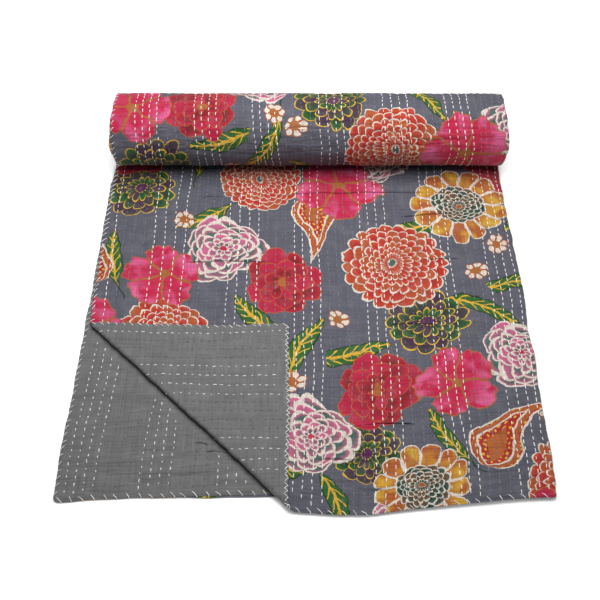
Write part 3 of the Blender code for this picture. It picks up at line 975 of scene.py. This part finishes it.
FOLD_COLUMNS = [HALF + BEND_ARC * n / 4 for n in range(-4, 5)]
EDGE_ROWS = spread(0, FLAT, 0.0045) + roll_rows(3.5, 14) + [QUILT_LENGTH]
CORNER = 0.009


def columns(step):
    """Places across both halves, with the fold's own between them."""
    return spread(0, HALF - BEND_ARC, step) + FOLD_COLUMNS[1:-1] + spread(HALF + BEND_ARC, QUILT_WIDTH, step)


def outline():
    """Points round the opened quilt, with its corners rounded."""
    front = [s for s in columns(0.004) if CORNER < s < QUILT_WIDTH - CORNER]
    far = [s for s in columns(0.06) if CORNER < s < QUILT_WIDTH - CORNER]
    side = [t for t in EDGE_ROWS if CORNER < t < QUILT_LENGTH - CORNER]
    near_s, near_t, far_s, far_t = CORNER, CORNER, QUILT_WIDTH - CORNER, QUILT_LENGTH - CORNER
    runs = (
        ([(s, 0.0) for s in front], (far_s, near_t)),
        ([(QUILT_WIDTH, t) for t in side], (far_s, far_t)),
        ([(s, QUILT_LENGTH) for s in reversed(far)], (near_s, far_t)),
        ([(0.0, t) for t in reversed(side)], (near_s, near_t)),
    )
    points = []
    for number, (run, centre) in enumerate(runs):
        points += run
        for angle in (math.radians(90 * (number - 1) + 90 * n / 5) for n in range(6)):
            points.append((centre[0] + CORNER * math.cos(angle), centre[1] + CORNER * math.sin(angle)))
    return points


OUTLINE = outline()
print(len(OUTLINE), "points round the edge")


# %% Points along the corner's fold
def fold_lines(step_across, step_along):
    """Points along the corner's fold, close together across it and square to it."""
    arc = math.pi * sum(FOLD_BEND) / 2
    across = [-0.005, -0.0025] + spread(0.0, arc + 0.002, step_across)
    across += [arc + 0.002 + n * SETTLE / 9 for n in range(1, 9)]
    past, along = np.meshgrid(across, spread(-0.02, 0.56, step_along))
    x, y = (FOLD_AT[n] + FOLD_ALONG[n] * along.ravel() - FOLD_IN[n] * past.ravel() for n in (0, 1))
    tilt = (UPPER_FRONT[1][1] - UPPER_FRONT[1][0]) / (UPPER_FRONT[0][1] - UPPER_FRONT[0][0])
    right = np.interp(0.18, *RIGHT_EDGE) - BEND - FACE
    s = (x - UPPER_LEFT[1][0]) / (right - UPPER_LEFT[1][0]) * (HALF - BEND_ARC)
    return np.stack((s, y - UPPER_FRONT[1][0] - tilt * (x - UPPER_FRONT[0][0])), 1)


# %% Points along the creases
CREASE_OFFSETS, CREASE_STRIP = (0.0004, 0.0008, 0.0013, 0.0019, 0.0028, 0.0042, 0.0062), 0.0078


def crease_points(printed_side):
    """Close rows of points each side of every crease, moved from the folded quilt to the opened one."""
    found, onward = [], 1 if printed_side else -1
    offsets = [-off for off in CREASE_OFFSETS] + [0.0, *CREASE_OFFSETS]
    for left, right, near_left, near_right, _ in PRINT_CREASES if printed_side else BACKING_CREASES:
        along, off = (part.ravel() for part in np.meshgrid(spread(left, right, 0.0035), offsets))
        wanted_y = crease_line(along, left, right, near_left, near_right) + off
        s, t = HALF + onward * (along - 0.39), wanted_y  # a first guess, put right in a few steps
        for _ in range(6):
            x, y, _ = layer(s, t)
            s, t = s + onward * (along - x), t + wanted_y - y
        found.append(np.stack((s, t), 1))
    return np.concatenate(found)


def by_a_crease(s, t, x, y, printed_side):
    near = np.zeros(len(x), bool)
    for left, right, near_left, near_right, _ in PRINT_CREASES if printed_side else BACKING_CREASES:
        off = np.abs(y - crease_line(x, left, right, near_left, near_right))
        near |= (off < CREASE_STRIP) & (x > left - 0.001) & (x < right + 0.001)
    return near & ((s < HALF) == printed_side) & (t < FLAT)


# %% Choose the points and join them
FOLD_PATCH, FOLD_STRIP = 0.42, (-0.007, 0.024)  # where the points along the fold take the others' place


def grid(across, along):
    s, t = np.meshgrid(across, along)
    return np.stack((s.ravel(), t.ravel()), 1)


def inside_outline(points, margin):
    s, t = points.T
    past_s = np.maximum(CORNER + 0.003 - np.minimum(s, QUILT_WIDTH - s), 0)
    past_t = np.maximum(CORNER + 0.003 - np.minimum(t, QUILT_LENGTH - t), 0)
    return points[(from_edge(s, t) > margin) & (np.hypot(past_s, past_t) < CORNER - margin)]


def net(fine_shows, fine_columns, fine_rows, fold_step, printed_side=None):
    """Points over the opened quilt, fine where fine_shows says so, and the triangles between them."""
    rims = [*RIM[1:], *(QUILT_WIDTH - e for e in RIM[1:])]
    hidden_rows = spread(0, FLAT, 0.05) + roll_rows(14, 14)
    hidden_columns = spread(0.0, HALF - BEND_ARC, 0.08) + FOLD_COLUMNS[::2]
    hidden_columns += spread(HALF + BEND_ARC, QUILT_WIDTH, 0.08)
    coarse = grid(hidden_columns, hidden_rows)
    picked = [fold_lines(fold_step, 2.2 * fold_step)]
    if fine_shows is not None:
        fine = grid(sorted({*fine_columns, *rims, *FOLD_COLUMNS}), sorted({*fine_rows, *RIM[1:]}))
        fine_on = fine_shows(fine[:, 0], fine[:, 1]) > 0.001
        coarse_on = fine_shows(coarse[:, 0], coarse[:, 1]) > 0.001
        picked += [fine[fine_on], coarse[~coarse_on]]
    else:
        picked.append(coarse)
    fold, rest = picked[0], np.concatenate(picked[1:])
    x, y, _ = layer(rest[:, 0], rest[:, 1])
    past, _ = past_fold(x, y)
    by_fold = (rest < FOLD_PATCH).all(axis=1) & (past > FOLD_STRIP[0]) & (past < FOLD_STRIP[1])
    if printed_side is not None:
        by_fold |= by_a_crease(rest[:, 0], rest[:, 1], x, y, printed_side)
        fold = np.concatenate((fold, crease_points(printed_side)))
    points = inside_outline(np.concatenate((fold, rest[~by_fold])), 0.0003)
    points = np.unique(points.round(6), axis=0)
    every = [tuple(p) for p in OUTLINE] + [tuple(p) for p in points]
    ring = [(n, (n + 1) % len(OUTLINE)) for n in range(len(OUTLINE))]
    flat, _, faces, source, *_ = delaunay_2d_cdt(every, ring, [], 1, 1e-8)
    flat = np.array([tuple(point) for point in flat])
    assert all(n in source[n] for n in range(len(OUTLINE)))
    faces = np.array([tuple(face) for face in faces])
    a, b, c = (flat[faces[:, n]] for n in range(3))
    turn = (b - a)[:, 0] * (c - a)[:, 1] - (b - a)[:, 1] * (c - a)[:, 0]
    faces[turn < 0] = faces[turn < 0][:, ::-1]
    return flat[:, 0], flat[:, 1], faces[np.abs(turn) > 1e-12]


# %% Build a closed sheet from an outer net and an inner one
PEEK = 0.0030


def peeking(s, t):
    """Under the turned corner the printed hem has slipped forward a little, so a dark strip of it shows."""
    x, _, _ = layer(s, t)
    forward = PEEK * smooth((x + 0.185) / 0.05) * smooth((0.005 - x) / 0.03) * np.exp(-((t / 0.014) ** 2))
    return np.stack((x * 0, -forward * (s > HALF), x * 0), 1)


def sheet(name, outer_net, inner_net, printed_side, material):
    s, t, faces = outer_net
    inner_s, inner_t, inner_faces = inner_net
    outer = face_at(s, t, printed_side)
    between = BETWEEN / 2 * (1 if printed_side else -1)
    inner = place(inner_s, inner_t) + facing(inner_s, inner_t) * between
    start, ring = len(outer), np.arange(len(OUTLINE))
    after = (ring + 1) % len(OUTLINE)
    if printed_side:
        inner_faces = inner_faces[:, ::-1]
        outer, inner = outer + peeking(s, t), inner + peeking(inner_s, inner_t)
        joins = (ring, ring + start, after), (after, ring + start, after + start)
    else:
        faces = faces[:, ::-1]
        joins = (ring, after, ring + start), (after, after + start, ring + start)
    triangles = np.concatenate((faces, inner_faces + start, *(np.stack(join, 1) for join in joins)))
    mesh = bpy.data.meshes.new(name)
    mesh.from_pydata(np.concatenate((outer, inner)).tolist(), [], triangles.tolist())
    mesh.polygons.foreach_set("use_smooth", np.ones(len(triangles), bool))
    # How much painted shade darkens each outer point at the bottom of a crease; the inner face gets none.
    crease_shade = np.concatenate((creases(s, t, printed_side)[1], np.zeros(len(inner))))
    crease_shade_layer = mesh.attributes.new("crease_shade", "FLOAT", "POINT")
    crease_shade_layer.data.foreach_set("value", crease_shade.astype(np.float32))
    laid = mesh.uv_layers.new(name="laid flat")
    where = np.concatenate((np.stack((s, t), 1), np.stack((inner_s, inner_t), 1)))
    laid.uv.foreach_set("vector", where[triangles.ravel()].astype(np.float32).ravel())
    mesh.set_sharp_from_angle(angle=math.radians(55))
    mesh.materials.append(material)
    made = bpy.data.objects.new(name, mesh)
    bpy.context.scene.collection.objects.link(made)
    print(name, len(triangles), "triangles, closed:", is_closed(triangles))
    return made


def is_closed(triangles):
    edges = np.concatenate([triangles[:, [0, 1]], triangles[:, [1, 2]], triangles[:, [2, 0]]])
    key = edges[:, 0].astype(np.int64) * 10_000_000 + edges[:, 1]
    back = edges[:, 1].astype(np.int64) * 10_000_000 + edges[:, 0]
    return len(np.unique(key)) == len(key) and np.array_equal(np.sort(key), np.sort(back))


inner_net = net(None, (), (), 0.004)
fine_columns = spread(0.004, HALF - BEND_ARC, 0.0040) + spread(HALF + BEND_ARC, QUILT_WIDTH - 0.004, 0.0040)
fine_rows = spread(0.004, FLAT, 0.0037) + roll_rows(2.8, 14)
printed_net = net(lambda s, t: showing(s, t)[0], fine_columns, fine_rows, 0.004, True)
printed_cloth = sheet("printed_cloth", printed_net, inner_net, True, printed_material)

# %% The backing, with closer points, because only its turned corner and the triangle beside it show
close_columns = spread(0.004, 0.40, 0.0033) + spread(1.10, QUILT_WIDTH - 0.004, 0.0033)
plain_net = net(lambda s, t: showing(s, t)[1], close_columns, spread(0.004, 0.42, 0.0033), 0.0018, False)
backing_cloth = sheet("backing_cloth", plain_net, inner_net, False, plain_material)

# %% [markdown]
# ## Thread
#
# A kantha is known by its stitches: short even dashes on the printed side, shorter ones behind, and slanting
# stitches that close the edge. Each stitch is a few points on the cloth that dive in at both ends. Python
# works out those points, because they follow the folds, and one small Geometry Nodes tree turns all of them
# into thread: it makes each path a curve, gives it a round section and a thickness, and sets its finish.


# %% The thread's node tree
def thread_tree():
    tree, n, given, wanted = new_group(
        "thread along paths",
        (
            ("Geometry", GEOMETRY, None),
            ("Thickness", FLOAT, 0.0015),
            ("Sides", "NodeSocketInt", 5),
            ("Thread", "NodeSocketMaterial", None),
        ),
        (("Geometry", GEOMETRY),),
        "GeometryNodeTree",
    )
    plump = n.add("GeometryNodeInputNamedAttribute", "plump", data_type="FLOAT").outputs["Attribute"]
    curve = n.add("GeometryNodeMeshToCurve", given["Geometry"]).outputs["Curve"]
    curve = n.add("GeometryNodeSetCurveRadius", curve, None, plump).outputs["Curve"]
    section = n.add("GeometryNodeCurvePrimitiveCircle", given["Sides"])
    n.give(section.inputs["Radius"], n.times(given["Thickness"], 0.5))
    spun = n.add("GeometryNodeCurveToMesh", curve, section.outputs["Curve"])
    n.give(spun.inputs["Fill Caps"], True)
    if "Scale" in spun.inputs:
        n.give(spun.inputs["Scale"], plump)
    real = n.add("GeometryNodeRealizeInstances", spun.outputs["Mesh"]).outputs["Geometry"]
    finish = n.add("GeometryNodeSetMaterial", real)
    n.give(finish.inputs["Material"], given["Thread"])
    n.give(wanted["Geometry"], finish.outputs["Geometry"])
    return tree


THREAD = thread_tree()
THREAD_SOCKETS = {socket.name: socket.identifier for socket in THREAD.interface.items_tree}
print(THREAD.name, THREAD_SOCKETS)


# %% Turn paths into a piece of thread work
def thread_work(name, paths, plump, thickness, sides, material):
    """paths is an array of stitches by points by three. plump swells or thins the thread along each."""
    count, length, _ = paths.shape
    start = np.arange(count)[:, None] * length + np.arange(length - 1)[None, :]
    mesh = bpy.data.meshes.new(name + " paths")
    edges = np.stack((start.ravel(), start.ravel() + 1), 1)
    mesh.from_pydata(paths.reshape(-1, 3).tolist(), edges.tolist(), [])
    swell = mesh.attributes.new("plump", "FLOAT", "POINT")
    tint = mesh.attributes.new("tint", "FLOAT", "POINT")
    shades = np.random.default_rng(21).uniform(0, 1, count)
    tint.data.foreach_set("value", np.repeat(shades, length).astype(np.float32))
    uneven = np.random.default_rng(22).uniform(0.78, 1.12, count)
    swell.data.foreach_set("value", (uneven[:, None] * np.array(plump)).ravel().astype(np.float32))
    made = bpy.data.objects.new(name + "_paths", mesh)
    bpy.context.scene.collection.objects.link(made)
    modifier = made.modifiers.new("thread", "NODES")
    modifier.node_group = THREAD
    for label, value in (("Thickness", thickness), ("Sides", sides), ("Thread", material)):
        modifier[THREAD_SOCKETS[label]] = value
    seen = made.evaluated_get(bpy.context.evaluated_depsgraph_get())
    finished = bpy.data.meshes.new_from_object(seen)
    finished.name = name
    threads = bpy.data.objects.new(name, finished)
    bpy.context.scene.collection.objects.link(threads)
    bpy.data.objects.remove(made)
    bpy.data.meshes.remove(mesh)
    finished.polygons.foreach_set("use_smooth", np.ones(len(finished.polygons), bool))
    print(name, count, "stitches,", sum(len(p.vertices) - 2 for p in finished.polygons), "triangles")
    return threads


# %% The threads' finish
def thread_finish(name, light, dark):
    material, shader = new_material(name, light, 0.75)
    n = Nodes(material.node_tree)
    tint = n.add("ShaderNodeAttribute", attribute_name="tint").outputs["Fac"]
    spot = n.add("ShaderNodeTexCoord").outputs["Object"]
    fuzz = n.noise(spot, 2500.0, 2.0)
    shade = n.times(n.plus(tint, fuzz), 0.5)
    n.give(shader.inputs["Base Color"], n.colour(shade, light, dark))
    bump = n.add("ShaderNodeBump")
    bump.inputs["Distance"].default_value = 0.0002
    n.give(bump.inputs["Height"], fuzz)
    n.give(shader.inputs["Normal"], bump.outputs[0])
    shader.inputs["Sheen Weight"].default_value = 0.2
    return material


white_thread = thread_finish("white cotton thread", linear(242, 240, 236), linear(205, 203, 200))
slate_thread = thread_finish("slate cotton thread", dye(138, 140, 154), dye(98, 98, 114))
dark_thread = thread_finish("dark grey cotton thread", dye(100, 100, 100), dye(62, 62, 62))

# %% [markdown]
# ## Running stitches
#
# The needle goes in and out every twelve millimetres or so. On the printed side it leaves a dash of six to
# ten millimetres, and on the plain side a shorter one in each gap. So the short ones sit half a step along
# the same line as the long ones. Length, thickness and place vary a little, as a hand's do.

# %% Lay out the running stitches
SEEN_LENGTH = FLAT + OUTER_TURN * 0.95
PRINT_LENGTHS, BACKING_LENGTHS = (0.0060, 0.0096), (0.0022, 0.0068)
STITCH_ARCH = ((-0.5, -0.0006), (-0.32, 0.00015), (0.0, 0.00045), (0.32, 0.00015), (0.5, -0.0006))
STITCH_PLUMP = (0.55, 0.95, 1.0, 0.95, 0.55)


def running_stitches(printed_side, white):
    random = np.random.default_rng(31 + white)
    middles = []
    for line, is_white in LINES:
        steps = np.arange(0.007, SEEN_LENGTH, STITCH_PITCH)
        t = steps + random.uniform(0, STITCH_PITCH) + random.normal(0, 0.0006, len(steps))
        half_step = 0 if printed_side else STITCH_PITCH / 2
        if is_white == white:
            middles.append(np.stack((np.full(len(t), line), t + half_step), 1))
    line, t = np.concatenate(middles).T
    s = line + line_drift(line, t) + random.normal(0, 0.0004, len(line))
    seen = (showing(s, t)[0 if printed_side else 1] > 0.6) & (from_edge(s, t) > 0.008)
    s, t = s[seen], t[seen]
    lengths = random.uniform(*(PRINT_LENGTHS if printed_side else BACKING_LENGTHS), len(s))
    slant = random.normal(0, 0.05, len(s))
    points = []
    for share, lift in STITCH_ARCH:
        points.append(face_at(s + slant * lengths * share, t + lengths * share, printed_side, lift))
    return np.stack(points, 1)


running = []
for name, printed_side, white, thickness, thread in (
    ("white_stitches_on_print", True, True, 0.0016, white_thread),
    ("slate_stitches_on_print", True, False, 0.0013, slate_thread),
    ("white_stitches_on_backing", False, True, 0.0016, white_thread),
    ("dark_stitches_on_backing", False, False, 0.0012, dark_thread),
):
    paths = running_stitches(printed_side, white)
    running.append(thread_work(name, paths, STITCH_PLUMP, thickness, 5, thread))

# %% [markdown]
# ## The stitched edge
#
# Both cloths are turned in at the edge and closed with slanting stitches that go over it, every thirteen
# millimetres at the sides and seventeen at the front. The turned corner's edge has smaller, crossed ones.
# Each path starts inside the edge on the plain side, goes round the rim and ends on the printed side, a
# little further on, so that it slants on both sides as overcasting does.


# %% Lay out the edge stitches
EDGE_ARCH = ((1.0, -0.0006), (0.6, 0.0004), (0.16, 0.00045))  # share of the reach, and lift
RIM_LIFT = 0.0007


def edge_stitches(along, at_edge, slant, reach):
    """at_edge(e, u) gives s and t for a place e in from the edge and u along it."""
    random = np.random.default_rng(41)
    along = along + random.normal(0, 0.0010, len(along))
    reach = reach * random.uniform(0.78, 1.15, len(along))
    lean = slant * random.uniform(0.60, 1.25, len(along))
    zero = np.zeros(len(along))
    points = []
    for share, lift in EDGE_ARCH:
        points.append(face_at(*at_edge(reach * share, along + lean * share), False, lift))
    rim, inside = place(*at_edge(zero, along)), place(*at_edge(zero + 0.003, along))
    out = (rim - inside) / np.linalg.norm(rim - inside, axis=1)[:, None]
    points.append(rim + out * RIM_LIFT)
    for share, lift in reversed(EDGE_ARCH):
        points.append(face_at(*at_edge(reach * share, along - lean * share), True, lift))
    return np.stack(points, 1)


SIDE_PITCH, FRONT_PITCH, CROSS_PITCH = 0.0130, 0.0172, 0.0108
side_steps = np.arange(0.012, QUILT_LENGTH - 0.020, SIDE_PITCH)
front_steps = np.arange(0.350, HALF - 0.008, FRONT_PITCH)
lower_steps = QUILT_WIDTH - np.arange(0.012, HALF - 0.008, FRONT_PITCH)
cross_steps = np.arange(0.010, 0.35, CROSS_PITCH)
# The steps along, the edge they follow, how far each half slants and how far in from the edge it reaches
EDGE_ROWS_OF_STITCHES = (
    (side_steps, lambda e, u: (e, u), -0.0070, 0.0070),
    (side_steps, lambda e, u: (QUILT_WIDTH - e, u), 0.0070, 0.0070),
    (front_steps, lambda e, u: (u, e), 0.0084, 0.0082),
    (lower_steps, lambda e, u: (u, e), 0.0084, 0.0082),
    (cross_steps, lambda e, u: (u, e), 0.0060, 0.0058),
    (cross_steps, lambda e, u: (u, e), -0.0060, 0.0058),
)
EDGE_PLUMP = (0.6, 0.95, 1.0, 1.0, 1.0, 0.95, 0.6)
edges = np.concatenate([edge_stitches(*row) for row in EDGE_ROWS_OF_STITCHES])
edge_piece = thread_work("edge_stitches", edges, EDGE_PLUMP, 0.0012, 5, white_thread)

# %% Hang the pieces on the root, and hide the solids that the two cloths replace
for cloth, node, slot in ((printed_cloth, "printed_top", "printed_cotton"), (backing_cloth, "plain_backing", "plain_cotton")):
    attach(cloth, "root")
    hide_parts(node)
for piece in (*running, edge_piece):
    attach(piece, "root")
